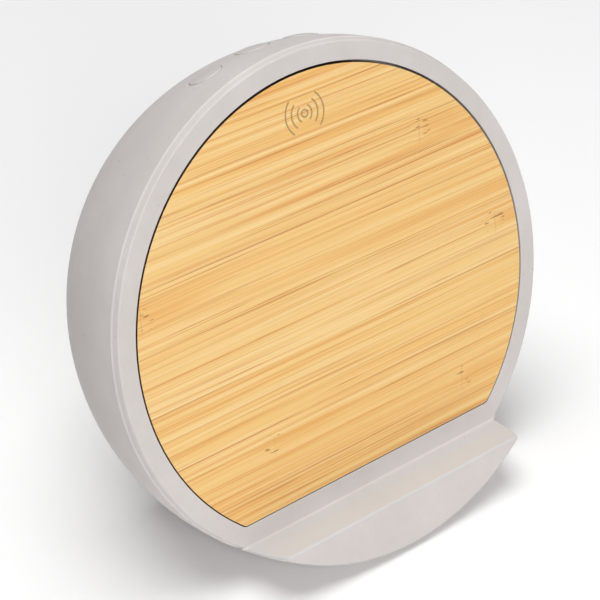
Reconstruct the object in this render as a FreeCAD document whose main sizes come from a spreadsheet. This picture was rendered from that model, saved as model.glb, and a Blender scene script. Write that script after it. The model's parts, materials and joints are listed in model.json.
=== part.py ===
import FreeCAD, Part
import math
import os
import re

import Sketcher
from FreeCAD import Placement, Rotation, Vector

# An upright phone charger with a loudspeaker, cast as a sphere that is cut flat in front, behind and
# underneath. Every piece is drawn in the leaning frame of its face: x to the right, y up along the face,
# z out of the face, with the origin at the sphere's centre. STAND then leans it back over the foot, whose
# underside is the plane z = 0 of the finished model.

SIZES = {
    # the cast body
    "sphere_radius": 60.1,
    "centre_height": 53.0,
    "lean_angle": 16.43,
    "face_level": 3.5,
    "rear_level": 34.5,
    "ledge_depth": 12.2,
    "ledge_drop": 45.7,
    "ledge_root_round": 0.4,
    "edge_round": 0.55,
    "rear_round": 1.5,
    # the shallow band that runs round the front edge and flares almost back to the sphere
    "band_radius": 59.42,
    "band_width": 1.6,
    "band_flare": 0.4,
    "band_slope": 0.35,
    "band_angle": 279.0,
    "band_edge_round": 0.45,
    # the hollow inside
    "cavity_radius": 50.0,
    "cavity_shift": 2.5,
    "cavity_front": 2.7,
    "cavity_rear": 25.0,
    "overlap": 1.0,
    # the wooden panel in its recess, where it has settled onto the lower side
    "recess_radius": 55.05,
    "recess_chord": 40.87,
    "recess_corner": 1.8,
    "panel_gap": 0.34,
    "panel_drop": 0.2,
    "panel_thick": 3.0,
    "panel_edge": 0.25,
    "tape_thick": 0.2,
    "tape_inset": 1.0,
    "front_opening": 47.0,
    "front_chord": 36.0,
    # the foot
    "foot_radius": 18.5,
    "foot_thick": 1.5,
    "foot_proud": 0.5,
    "foot_gap": 0.3,
    # chassis, coil and their columns
    "column_pitch": 41.0,
    "column_radius": 5.0,
    "chassis_level": 4.7,
    "chassis_thick": 2.0,
    "chassis_gap": 0.6,
    "nest_radius": 25.5,
    "nest_wall": 1.2,
    "nest_floor": 1.0,
    "nest_height": 3.0,
    "lead_half": 3.0,
    "lead_reach": 2.0,
    "tap_floor": 0.5,
    "ferrite_radius": 24.0,
    "ferrite_thick": 0.8,
    "coil_outer": 21.5,
    "coil_inner": 10.0,
    "coil_thick": 1.2,
    "coil_gap": 0.1,
    # boards and battery behind the chassis
    "post_height": 1.5,
    "post_radius": 2.0,
    "board_thick": 1.0,
    "board_inner": 1.0,
    "board_outer": 23.0,
    "board_top": 8.0,
    "board_bottom": 34.0,
    "board_screw_inset": 2.4,
    "battery_half": 23.0,
    "battery_low": 8.0,
    "battery_high": 36.0,
    "battery_thick": 6.0,
    "battery_round": 2.0,
    "battery_tape": 0.4,
    "battery_inset": 3.5,
    # rear cover
    "rebate_radius": 40.0,
    "cover_gap": 0.3,
    "cover_thick": 2.5,
    "cover_edge": 0.4,
    "seal_thick": 0.5,
    "seal_inset": 1.0,
    "rear_opening": 31.5,
    "cover_screw_pitch": 35.8,
    "grille_hole": 0.9,
    "grille_pitch": 3.2,
    # threaded brass inserts and their screws
    "insert_radius": 2.1,
    "insert_length": 5.0,
    "screw_radius": 1.45,
    "screw_play": 0.05,
    "screw_clearance": 0.2,
    "screw_short": 0.5,
    "head_radius": 2.75,
    "head_height": 1.1,
    "head_play": 0.15,
    "head_sink": 0.1,
    "small_screw_radius": 0.9,
    "small_screw_play": 0.15,
    "small_screw_grip": 2.5,
    "tap_depth": 1.5,
    "small_head_radius": 1.6,
    "small_head_height": 1.0,
    # loudspeaker, built about its own axis from the cover inwards
    "speaker_height": 5.0,
    "speaker_ring": 24.5,
    "speaker_window": 19.5,
    "speaker_boss": 1.5,
    "boss_overhang": 0.5,
    "basket_depth": 9.0,
    "basket_wall": 1.0,
    "basket_foot": 2.0,
    "basket_slant": 0.6,
    "motor_radius": 11.5,
    "motor_depth": 8.0,
    "motor_floor": 2.0,
    "motor_gap": 0.5,
    "magnet_radius": 7.0,
    "magnet_thick": 3.0,
    "pole_thick": 1.6,
    "pole_overhang": 0.1,
    "former_radius": 7.6,
    "former_wall": 0.6,
    "coil_reach": 3.0,
    "cone_radius": 15.5,
    "cone_thick": 0.6,
    "cone_rim": 2.2,
    "cone_neck": 2.4,
    "dome_bend": 10.0,
    "dome_wall": 0.5,
    "surround_start": 0.1,
    "surround_shoulder": 1.2,
    "surround_valley": 2.2,
    "surround_slant": 0.3,
    "surround_thick": 0.4,
    "surround_rise": 0.2,
    # connector at the rear
    "usb_height": -25.2,
    "usb_width": 8.94,
    "usb_thick": 3.26,
    "usb_depth": 7.35,
    "usb_wall": 0.3,
    "usb_mouth": 0.2,
    "usb_back": 1.0,
    "usb_play": 0.2,
    "usb_tongue": 3.35,
    "usb_tongue_sink": 1.0,
    "usb_tongue_thick": 0.35,
    # the connector's board, the lamp beside it and the microphone, all on the cover
    "usb_board_half": 8.0,
    "usb_board_deep": 14.0,
    "usb_board_thick": 1.0,
    "usb_board_gap": 0.2,
    "usb_shelf_deep": 12.0,
    "usb_shelf_thick": 1.2,
    "lamp_across": 6.9,
    "lamp_half": 0.8,
    "lamp_tall": 2.4,
    "lamp_deep": 1.2,
    "lamp_gap": 0.4,
    "pipe_radius": 1.0,
    "pipe_play": 0.05,
    "pipe_sink": 0.1,
    "ear_across": -12.0,
    "ear_height": -24.0,
    "ear_radius": 2.0,
    "ear_deep": 1.8,
    "ear_hole": 0.5,
    # push buttons across the top
    "button_step": 13.1,
    "button_back": 9.7,
    "button_shift": 1.6,
    "button_radius": 4.0,
    "button_gap": 0.15,
    "button_proud": 0.45,
    "button_rim": 0.15,
    "button_edge": 0.25,
    "flange_radius": 4.9,
    "flange_thick": 1.0,
    "flange_play": 0.3,
    "stem_radius": 1.3,
    "plunger_radius": 0.9,
    "plunger_play": 0.15,
    "switch_half": 1.8,
    "switch_play": 0.1,
    "switch_well": 0.7,
    "flex_half": 3.0,
    "flex_overhang": 5.0,
    "bracket_step": 27.0,
    "bracket_half": 3.6,
    "bracket_overhang": 4.0,
    "bracket_post": 3.0,
    "bracket_hole": 1.1,
    "bracket_seat": 2.3,
    "bracket_insert": 1.6,
    "bracket_insert_bore": 1.0,
    "bracket_insert_length": 4.0,
    "bracket_screw": 0.95,
    "bracket_head": 2.1,
    "bracket_head_height": 1.2,
    "bracket_screw_short": 1.0,
}

doc = FreeCAD.newDocument("charging_stand")
sheet = doc.addObject("Spreadsheet::Sheet", "sizes")
for row, (alias, number) in enumerate(SIZES.items(), start=1):
    sheet.set(f"A{row}", alias)
    sheet.set(f"B{row}", str(number))
    sheet.setAlias(f"B{row}", alias)
doc.recompute()


# ------------------------------------------------------------------ expressions
def linked(expression):
    """The expression with each name from the sheet written as sizes.name."""
    return re.sub(r"[a-z][a-z_]*", lambda m: "sizes." + m[0] if m[0] in SIZES else m[0], expression)


def value(expression):
    """The number that an expression in the sheet's names comes to."""
    return float(sheet.evalExpression(linked(expression)))


def bind(feature, **expressions):
    """Tie a feature's properties to expressions in the sheet's names."""
    for name, expression in expressions.items():
        feature.setExpression(name, linked(expression))


# ------------------------------------------------------------------ placements
LEAN = Rotation(Vector(1, 0, 0), 90 - value("lean_angle"))
STAND = Placement(Vector(0, 0, value("centre_height")), LEAN)
BUTTON_ROW = Placement(Vector(0, 0, 0), Rotation(Vector(0, 0, 1), value("button_shift")))
UPRIGHT = Rotation(Vector(1, 0, 0), 90)


def along_button(step):
    """The turn that carries the z axis onto a button's axis, step degrees left of the middle one."""
    return Rotation(Vector(0, 0, 1), step) * Rotation(Vector(1, 0, 0), -90 - value("button_back"))


def on_axis(step, radius):
    """The place at a radius from the sphere's centre along a button's axis, facing outwards."""
    turn = along_button(step)
    return Placement(turn.multVec(Vector(0, 0, radius)), turn)


# ------------------------------------------------------------------ bodies and sketches
NODES = []


def new_body(label, placement=STAND, many=False):
    """A body that becomes one node; many lets it hold several separate solids."""
    body = doc.addObject("PartDesign::Body", label)
    body.Label = label
    body.AllowCompound = many
    body.Placement = placement
    NODES.append(body)
    return body


def new_sketch(body, role="XY_Plane", level=None, placement=None):
    """A sketch on one of the body's own planes, raised to a level or set to a placement."""
    sketch = body.newObject("Sketcher::SketchObject", body.Label + "_sketch")
    support = next(plane for plane in body.Origin.OriginFeatures if plane.Role == role)
    sketch.AttachmentSupport = [(support, "")]
    sketch.MapMode = "FlatFace"
    if placement:
        sketch.AttachmentOffset = placement
    if level:
        sketch.setExpression("AttachmentOffset.Base.z", linked(level))
    return sketch


def fix_point(sketch, geometry, position, across, upward):
    """Hold a point of the sketch at two expressions, or on an axis where one is nothing."""
    for kind, axis, expression in (("DistanceX", -2, across), ("DistanceY", -1, upward)):
        amount = value(expression)
        if abs(amount) < 1e-9:
            sketch.addConstraint(Sketcher.Constraint("PointOnObject", geometry, position, axis))
        else:
            rule = Sketcher.Constraint(kind, -1, 1, geometry, position, amount)
            index = sketch.addConstraint(rule)
            sketch.setExpression(f"Constraints[{index}]", linked(expression))


def draw_circle(sketch, radius, across="0", upward="0"):
    centre = Vector(value(across), value(upward), 0)
    circle = sketch.addGeometry(Part.Circle(centre, Vector(0, 0, 1), value(radius)), False)
    index = sketch.addConstraint(Sketcher.Constraint("Radius", circle, value(radius)))
    sketch.setExpression(f"Constraints[{index}]", linked(radius))
    fix_point(sketch, circle, 3, across, upward)


def draw_outline(sketch, corners, arcs=None):
    """A closed outline through the corners. arcs gives, for the side that follows a corner, the height
    on the upright axis of the centre that the side bends around."""
    arcs = arcs or {}
    points = [Vector(value(across), value(upward), 0) for across, upward in corners]
    starts, ends = [], []
    for number, (first, last) in enumerate(zip(points, points[1:] + points[:1])):
        if number not in arcs:
            side = sketch.addGeometry(Part.LineSegment(first, last), False)
            starts.append((side, 1))
            ends.append((side, 2))
            continue
        centre = Vector(0, value(arcs[number]), 0)
        circle = Part.Circle(centre, Vector(0, 0, 1), (first - centre).Length)
        angles = [math.atan2(point.y - centre.y, point.x) for point in (first, last)]
        side = sketch.addGeometry(Part.ArcOfCircle(circle, min(angles), max(angles)), False)
        sketch.addConstraint(Sketcher.Constraint("PointOnObject", side, 3, -2))
        turned = angles[0] < angles[1]
        starts.append((side, 1 if turned else 2))
        ends.append((side, 2 if turned else 1))
    for end, start in zip(ends, starts[1:] + starts[:1]):
        sketch.addConstraint(Sketcher.Constraint("Coincident", *end, *start))
    for start, (across, upward) in zip(starts, corners):
        fix_point(sketch, *start, across, upward)


def draw_box(sketch, left, right, low, high):
    draw_outline(sketch, [(left, low), (right, low), (right, high), (left, high)])


def draw_stadium(sketch, half_width, half_height, level):
    """A level slot with round ends, centred on the upright axis."""
    radius = value(half_height)
    middle_height = value(level)
    reach = value(half_width) - radius
    normal = Vector(0, 0, 1)
    ends = []
    for sign, start in ((1, -90), (-1, 90)):
        circle = Part.Circle(Vector(sign * reach, middle_height, 0), normal, radius)
        arc = Part.ArcOfCircle(circle, math.radians(start), math.radians(start + 180))
        ends.append(sketch.addGeometry(arc, False))
    right, left = ends
    sides = []
    for sign in (1, -1):
        height = middle_height + sign * radius
        line = Part.LineSegment(Vector(sign * reach, height, 0), Vector(-sign * reach, height, 0))
        sides.append(sketch.addGeometry(line, False))
    top, bottom = sides
    for first, last in ((right, top), (top, left), (left, bottom), (bottom, right)):
        sketch.addConstraint(Sketcher.Constraint("Tangent", first, 2, last, 1))
    sketch.addConstraint(Sketcher.Constraint("Equal", left, right))
    index = sketch.addConstraint(Sketcher.Constraint("Radius", right, radius))
    sketch.setExpression(f"Constraints[{index}]", linked(half_height))
    fix_point(sketch, right, 3, f"{half_width} - {half_height}", level)
    fix_point(sketch, left, 3, f"{half_height} - {half_width}", level)


def draw_cut_disc(sketch, radius, chord):
    """A circle about the origin with its lower part cut off by a level chord."""
    reach, drop = value(radius), value(chord)
    angle = math.asin(drop / reach)
    circle = Part.Circle(Vector(0, 0, 0), Vector(0, 0, 1), reach)
    arc = sketch.addGeometry(Part.ArcOfCircle(circle, -angle, math.pi + angle), False)
    half = reach * math.cos(angle)
    line = sketch.addGeometry(Part.LineSegment(Vector(-half, -drop, 0), Vector(half, -drop, 0)), False)
    sketch.addConstraint(Sketcher.Constraint("Coincident", arc, 3, -1, 1))
    sketch.addConstraint(Sketcher.Constraint("Coincident", arc, 2, line, 1))
    sketch.addConstraint(Sketcher.Constraint("Coincident", line, 2, arc, 1))
    sketch.addConstraint(Sketcher.Constraint("Horizontal", line))
    for kind, items, expression in (
        ("Radius", (arc,), radius),
        ("DistanceY", (-1, 1, line, 1), f"-({chord})"),
    ):
        index = sketch.addConstraint(Sketcher.Constraint(kind, *items, value(expression)))
        sketch.setExpression(f"Constraints[{index}]", linked(expression))


def draw_ring_of_circles(sketch, count, pitch, radius, first="45", shift="0"):
    """Equal circles on a pitch circle, counted from the angle first."""
    for number in range(count):
        angle = f"({first} + {number} * 360 / {count})"
        draw_circle(sketch, radius, f"({pitch}) * cos({angle})", f"{shift} + ({pitch}) * sin({angle})")


# ------------------------------------------------------------------ features
def pad(body, sketch, length, back=False):
    made = body.newObject("PartDesign::Pad", body.Label + "_pad")
    made.Profile = sketch
    made.Reversed = back
    bind(made, Length=length)
    return made


def pocket(body, sketch, length, forward=False):
    """Cut against the sketch's normal, or along it when forward."""
    made = body.newObject("PartDesign::Pocket", body.Label + "_pocket")
    made.Profile = sketch
    made.Reversed = forward
    bind(made, Length=length)
    return made


def revolve(body, sketch, cut=False, angle=360.0, centred=False):
    kind = "PartDesign::Groove" if cut else "PartDesign::Revolution"
    made = body.newObject(kind, body.Label + "_turned")
    made.Profile = sketch
    made.ReferenceAxis = (sketch, ["V_Axis"])
    made.Angle = angle
    made.Midplane = centred
    return made


def turned_piece(label, corners, arcs=None, placement=STAND):
    """A node turned about its z axis from one outline of radius and height."""
    body = new_body(label, placement)
    sketch = new_sketch(body, "XZ_Plane")
    draw_outline(sketch, corners, arcs)
    revolve(body, sketch)
    return body


def drill(body, name, radius, length, placement):
    """Cut a round hole whose axis starts at a placement and runs along its z."""
    tool = body.newObject("PartDesign::SubtractiveCylinder", name)
    tool.Placement = placement
    bind(tool, Radius=radius, Height=length)
    return tool


def round_edges(body, base, radius, chosen):
    """Fillet the edges of a feature that the test chosen picks."""
    doc.recompute()
    names = [f"Edge{n}" for n, edge in enumerate(base.Shape.Edges, start=1) if chosen(edge)]
    made = body.newObject("PartDesign::Fillet", body.Label + "_round")
    made.Base = (base, names)
    bind(made, Radius=radius)
    return made


def copies_about_axis(body, feature, count, angle):
    """Repeat a feature about the body's z axis, spread over an angle."""
    axis = next(line for line in body.Origin.OriginFeatures if line.Role == "Z_Axis")
    made = body.newObject("PartDesign::PolarPattern", body.Label + "_copies")
    made.Originals = [feature]
    made.Axis = (axis, [""])
    made.Angle = angle
    made.Occurrences = count
    body.Tip = made
    return made


def near(first, second):
    """Whether two lengths are the same to within a hundredth or two of a millimetre."""
    return abs(first - second) < 0.02


def middle(edge):
    return edge.valueAt((edge.FirstParameter + edge.LastParameter) / 2)


# ------------------------------------------------------------------ body shell
PANEL_BACK = "face_level - panel_thick"
RECESS_FLOOR = "face_level - panel_thick - tape_thick"
LEDGE_LEVEL = "face_level + ledge_depth"
REBATE_FLOOR = "rear_level - cover_thick - seal_thick"
COVER_INNER = "rear_level - cover_thick"
COLUMN_TOP = "-chassis_level"
BUTTON_WALL = 52.4
BUTTON_SHOULDER = 55.5
BRACKET_INSERT = 52.6
OVERCUT = 3.0


def section(radius, level):
    """The radius of a sphere's section at a level."""
    return f"sqrt(({radius})^2 - ({level})^2)"


def make_body_shell():
    body = new_body("body_shell")
    sphere = new_sketch(body, "XZ_Plane")
    draw_outline(
        sphere,
        [
            ("0", "-rear_level"),
            (section("sphere_radius", "rear_level"), "-rear_level"),
            (section("sphere_radius", LEDGE_LEVEL), LEDGE_LEVEL),
            ("0", LEDGE_LEVEL),
        ],
        {1: "0"},
    )
    revolve(body, sphere)

    front = new_sketch(body, level=LEDGE_LEVEL)
    draw_box(front, "-2 * sphere_radius", "2 * sphere_radius", "-ledge_drop", "2 * sphere_radius")
    pocket(body, front, "ledge_depth")
    under = body.newObject("PartDesign::SubtractiveBox", "base_flat")
    reach = value("sphere_radius")
    low = Placement(Vector(-reach, -reach, value("foot_proud") - reach), Rotation())
    under.Placement = STAND.inverse() * low
    bind(under, Length="2 * sphere_radius", Width="2 * sphere_radius", Height="sphere_radius")

    shelf = -value("ledge_drop")
    face = value("face_level")
    rear = -value("rear_level")

    def is_root(edge):
        point = middle(edge)
        return near(point.y, shelf) and near(point.z, face)

    def is_front_edge(edge):
        return near(middle(edge).z, face) or middle(edge).z > face

    def is_rear_edge(edge):
        return near(middle(edge).z, rear)

    root = round_edges(body, under, "ledge_root_round", is_root)
    outer = round_edges(body, root, "edge_round", is_front_edge)
    round_edges(body, outer, "rear_round", is_rear_edge)

    band = new_sketch(body, "YZ_Plane")
    band_end = "face_level - band_width"
    flared = "(band_radius + band_flare)"
    beyond = "(sphere_radius + overlap)"
    fall = f"band_slope * ({beyond} - {flared}) / (sphere_radius - {flared})"
    draw_outline(
        band,
        [
            (flared, band_end),
            (beyond, f"{band_end} - {fall}"),
            (beyond, "face_level + overlap"),
            ("band_radius - band_flare * overlap / band_width", "face_level + overlap"),
        ],
    )
    groove = revolve(body, band, cut=True, angle=value("band_angle"), centred=True)
    band_radius = value("band_radius")

    def is_band_edge(edge):
        point = middle(edge)
        return near(point.z, face) and near(math.hypot(point.x, point.y), band_radius)

    round_edges(body, groove, "band_edge_round", is_band_edge)

    recess = new_sketch(body, level="face_level")
    draw_cut_disc(recess, "recess_radius", "recess_chord")
    last = pocket(body, recess, "panel_thick + tape_thick")
    corner_y = -value("recess_chord")
    floor = value(RECESS_FLOOR)

    def is_recess_corner(edge):
        point = middle(edge)
        return near(point.y, corner_y) and near(point.z, (floor + face) / 2)

    round_edges(body, last, "recess_corner", is_recess_corner)

    cavity = new_sketch(body, "XZ_Plane", level="-cavity_shift")
    draw_outline(
        cavity,
        [
            ("0", "-cavity_rear"),
            (section("cavity_radius", "cavity_rear"), "-cavity_rear"),
            (section("cavity_radius", "cavity_front"), "-cavity_front"),
            ("0", "-cavity_front"),
        ],
        {1: "0"},
    )
    revolve(body, cavity, cut=True)

    opening = new_sketch(body, level=RECESS_FLOOR)
    draw_cut_disc(opening, "front_opening", "front_chord")
    pocket(body, opening, f"{RECESS_FLOOR} + cavity_front + overlap")

    rebate = new_sketch(body, level="-rear_level")
    draw_circle(rebate, "rebate_radius")
    pocket(body, rebate, "cover_thick + seal_thick", forward=True)
    outlet = new_sketch(body, level="-rear_level")
    draw_circle(outlet, "rear_opening")
    pocket(body, outlet, "rear_level - cavity_rear + overlap", forward=True)

    columns = new_sketch(body, level="-cavity_rear - overlap")
    draw_ring_of_circles(columns, 4, "column_pitch", "column_radius")
    pad(body, columns, "cavity_rear + overlap - chassis_level")
    nests = new_sketch(body, level=COLUMN_TOP)
    draw_ring_of_circles(nests, 4, "column_pitch", "insert_radius")
    pocket(body, nests, "insert_length + overlap")
    rear_nests = new_sketch(body, level=f"-({REBATE_FLOOR})")
    draw_ring_of_circles(rear_nests, 4, "cover_screw_pitch", "insert_radius")
    pocket(body, rear_nests, "insert_length", forward=True)

    for name, step in BUTTONS.items():
        place = BUTTON_ROW * on_axis(step, BUTTON_WALL - OVERCUT)
        outside = f"sphere_radius - {BUTTON_WALL} + 2 * {OVERCUT}"
        drill(body, f"{name}_bore", "button_radius + button_gap", outside, place)
        shoulder = f"{BUTTON_SHOULDER} - {BUTTON_WALL} + {OVERCUT}"
        drill(body, f"{name}_relief", "flange_radius + flange_play", shoulder, place)
    for side in (1, -1):
        place = BUTTON_ROW * on_axis(side * value("bracket_step"), BRACKET_INSERT - OVERCUT)
        drill(body, "bracket_nest", "bracket_insert", f"bracket_insert_length + {OVERCUT}", place)

    drill(body, "foot_nest", "foot_radius + foot_gap", "foot_thick", STAND.inverse())


STEP = value("button_step")
BUTTONS = {"button_left": STEP, "button_middle": 0.0, "button_right": -STEP}
make_body_shell()


# ------------------------------------------------------------------ front panel
SETTLED = STAND * Placement(Vector(0, -value("panel_drop"), 0), Rotation())


def make_front_panel():
    panel = new_body("bamboo_panel", SETTLED)
    outline = new_sketch(panel, level="face_level")
    draw_cut_disc(outline, "recess_radius - panel_gap", "recess_chord - panel_gap")
    plate = pad(panel, outline, "panel_thick", back=True)
    chord = -value("recess_chord - panel_gap")
    back = value(PANEL_BACK)
    face = value("face_level")

    def is_corner(edge):
        point = middle(edge)
        return near(point.y, chord) and near(point.z, (back + face) / 2)

    rounded = round_edges(panel, plate, "recess_corner - panel_gap", is_corner)
    round_edges(panel, rounded, "panel_edge", lambda edge: near(middle(edge).z, face))

    tape = new_body("panel_tape", SETTLED)
    outline = new_sketch(tape, level=RECESS_FLOOR)
    draw_cut_disc(outline, "recess_radius - tape_inset", "recess_chord - tape_inset")
    pad(tape, outline, "tape_thick")
    inside = new_sketch(tape, level=PANEL_BACK)
    draw_cut_disc(inside, "front_opening + tape_inset", "front_chord + tape_inset")
    pocket(tape, inside, "tape_thick")


make_front_panel()


# ------------------------------------------------------------------ chassis and coil
CHASSIS_TOP = "(-chassis_level + chassis_thick)"
NEST_FLOOR = f"({CHASSIS_TOP} + nest_floor)"
BOARD_NEAR = "(chassis_level + post_height)"
BOARD_FAR = f"({BOARD_NEAR} + board_thick)"
SCREW_HIGH = "(-board_top - board_screw_inset)"
SCREW_LOW = "(-board_bottom + board_screw_inset)"
SCREW_NEAR = "(board_inner + board_screw_inset)"
SCREW_FAR = "(board_outer - board_screw_inset)"
BOARD_SCREWS = [(SCREW_NEAR, SCREW_LOW), (SCREW_FAR, SCREW_HIGH)]
COIL_TURNS = 8


def board_screw_places():
    """The centres of both boards' screws: two a board, mirrored left and right."""
    return [(f"{sign} * {across}", height) for sign in ("1", "-1") for across, height in BOARD_SCREWS]


def make_chassis():
    body = new_body("inner_chassis")
    plate = new_sketch(body, level=COLUMN_TOP)
    draw_cut_disc(plate, "front_opening - chassis_gap", "front_chord - chassis_gap")
    pad(body, plate, "chassis_thick")
    nest = new_sketch(body, level=CHASSIS_TOP)
    draw_circle(nest, "nest_radius")
    pad(body, nest, "nest_height")
    hollow = new_sketch(body, level=f"{CHASSIS_TOP} + nest_height")
    draw_circle(hollow, "nest_radius - nest_wall")
    pocket(body, hollow, "nest_height - nest_floor")
    posts = new_sketch(body, level=COLUMN_TOP)
    for across, height in board_screw_places():
        draw_circle(posts, "post_radius", across, height)
    pad(body, posts, "post_height", back=True)
    taps = new_sketch(body, level=f"-{BOARD_NEAR}")
    for across, height in board_screw_places():
        draw_circle(taps, "small_screw_radius", across, height)
    pocket(body, taps, "post_height + chassis_thick - tap_floor", forward=True)
    holes = new_sketch(body, level=CHASSIS_TOP)
    draw_ring_of_circles(holes, 4, "column_pitch", "screw_radius + screw_clearance")
    pocket(body, holes, "chassis_thick")
    lead_slot = new_sketch(body, level=f"{CHASSIS_TOP} + nest_height")
    draw_box(lead_slot, "-lead_half", "lead_half", "-nest_radius - lead_reach", "lead_half - nest_radius")
    pocket(body, lead_slot, "nest_height + chassis_thick")


def ring(inner, outer, low, high):
    """The outline of a turned ring."""
    return [(inner, low), (outer, low), (outer, high), (inner, high)]


def make_coil():
    ferrite_top = f"({NEST_FLOOR} + ferrite_thick)"
    turned_piece("ferrite_sheet", ring("0", "ferrite_radius", NEST_FLOOR, ferrite_top))
    coil_top = f"({ferrite_top} + coil_thick)"
    body = new_body("charging_coil", many=True)
    sketch = new_sketch(body, "XZ_Plane")
    pitch = f"((coil_outer - coil_inner) / {COIL_TURNS})"
    for turn in range(COIL_TURNS):
        inner = f"(coil_inner + {turn} * {pitch} + coil_gap)"
        outer = f"(coil_inner + {turn + 1} * {pitch} - coil_gap)"
        draw_outline(sketch, ring(inner, outer, ferrite_top, coil_top))
    revolve(body, sketch)


def screw_outline(head_base, head_top, tip, head, shank):
    """A screw whose head lies between two levels, with its shank reaching to tip."""
    outside = [("0", head_top), (head, head_top), (head, head_base)]
    return outside + [(shank, head_base), (shank, tip), ("0", tip)]


def group_about_axis(label, corners, pitch, count=4, first=45.0, placement=STAND):
    """Equal turned pieces on a pitch circle, in one node."""
    body = new_body(label, placement, many=True)
    angle = math.radians(first)
    centre = Vector(value(pitch) * math.cos(angle), value(pitch) * math.sin(angle), 0)
    sketch = new_sketch(body, placement=Placement(centre, UPRIGHT))
    draw_outline(sketch, corners)
    copies_about_axis(body, revolve(body, sketch), count, 360.0)
    return body


def make_fasteners():
    """The brass inserts and the screws of the chassis, then those of the rear cover."""
    bore = "screw_radius + screw_play"
    column_end = "-chassis_level - insert_length"
    group_about_axis("chassis_inserts", ring(bore, "insert_radius", column_end, COLUMN_TOP), "column_pitch")
    head_top = f"{CHASSIS_TOP} + head_height"
    screw = screw_outline(CHASSIS_TOP, head_top, column_end, "head_radius", "screw_radius")
    group_about_axis("chassis_screws", screw, "column_pitch")

    floor = f"-({REBATE_FLOOR})"
    insert_end = f"{floor} + insert_length"
    group_about_axis("cover_inserts", ring(bore, "insert_radius", floor, insert_end), "cover_screw_pitch")
    outside = "-rear_level + head_sink"
    seat = f"({outside} + head_height)"
    head = "head_radius - head_play"
    screw = screw_outline(seat, outside, f"{insert_end} - screw_short", head, "screw_radius")
    group_about_axis("cover_screws", screw, "cover_screw_pitch")


make_chassis()
make_coil()
make_fasteners()


# ------------------------------------------------------------------ boards and battery
# the larger components of each board: centre across and up, width, height, thickness
BOARD_PARTS = {
    "main_board": {
        "radio_chip": (-14.0, -22.5, 9.0, 9.0, 1.2),
        "amplifier": (-19.25, -15.0, 4.5, 4.0, 1.6),
        "memory": (-10.0, -13.25, 5.0, 3.5, 1.0),
        "speaker_socket": (-4.5, -19.0, 4.0, 12.0, 2.6),
        "crystal": (-12.5, -30.5, 4.0, 3.0, 1.4),
    },
    "charger_board": {
        "coil_driver": (9.0, -21.5, 7.0, 7.0, 1.0),
        "inductor": (18.0, -23.5, 7.0, 7.0, 2.8),
        "inner_capacitor": (4.5, -12.5, 3.0, 4.0, 1.6),
        "outer_capacitor": (10.5, -12.5, 3.0, 4.0, 1.6),
        "coil_socket": (13.0, -31.0, 8.0, 3.0, 1.8),
    },
}


def make_board(label, sign):
    body = new_body(label)
    outline = new_sketch(body, level=f"-{BOARD_NEAR}")
    sides = sorted((f"{sign} * board_inner", f"{sign} * board_outer"), key=value)
    draw_box(outline, *sides, "-board_bottom", "-board_top")
    pad(body, outline, "board_thick", back=True)
    holes = new_sketch(body, level=f"-{BOARD_NEAR}")
    for across, height in BOARD_SCREWS:
        draw_circle(holes, "small_screw_radius + small_screw_play", f"{sign} * {across}", height)
    pocket(body, holes, "board_thick")

    parts = new_body(label + "_parts", many=True)
    for across, upward, wide, high, thick in BOARD_PARTS[label].values():
        outline = new_sketch(parts, level=f"-{BOARD_FAR}")
        corners = (across - wide / 2, across + wide / 2, upward - high / 2, upward + high / 2)
        draw_box(outline, *map(str, corners))
        pad(parts, outline, str(thick), back=True)


def make_board_screws():
    body = new_body("board_screws", many=True)
    for across, height in board_screw_places():
        centre = Vector(value(across), value(height), 0)
        sketch = new_sketch(body, placement=Placement(centre, UPRIGHT))
        outline = screw_outline(
            f"-{BOARD_FAR}",
            f"-{BOARD_FAR} - small_head_height",
            COLUMN_TOP,
            "small_head_radius",
            "small_screw_radius",
        )
        draw_outline(sketch, outline)
        revolve(body, sketch)


def make_battery():
    pack = new_body("battery_cell")
    outline = new_sketch(pack, level="-chassis_level - battery_tape")
    draw_box(outline, "-battery_half", "battery_half", "battery_low", "battery_high")
    block = pad(pack, outline, "battery_thick", back=True)

    def is_long_edge(edge):
        direction = edge.tangentAt(edge.FirstParameter)
        return abs(direction.y) > 0.9

    round_edges(pack, block, "battery_round", is_long_edge)
    tape = new_body("battery_pad")
    outline = new_sketch(tape, level="-chassis_level")
    half = "battery_half - battery_inset"
    draw_box(outline, f"-({half})", half, "battery_low + battery_inset", "battery_high - battery_inset")
    pad(tape, outline, "battery_tape", back=True)


make_board("main_board", "-1")
make_board("charger_board", "1")
make_board_screws()
make_battery()


# ------------------------------------------------------------------ rear cover
SPEAKER = STAND * Placement(Vector(0, value("speaker_height"), 0), Rotation())
SPEAKER_SEAT = f"({COVER_INNER} - speaker_boss)"
SPEAKER_SCREW_PITCH = "((speaker_ring + speaker_window) / 2 + 0.3)"
GRILLE_RINGS = 5
USB_BOARD_TOP = "(usb_height - usb_thick / 2)"
USB_BOARD_BASE = f"({USB_BOARD_TOP} - usb_board_thick)"


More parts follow.
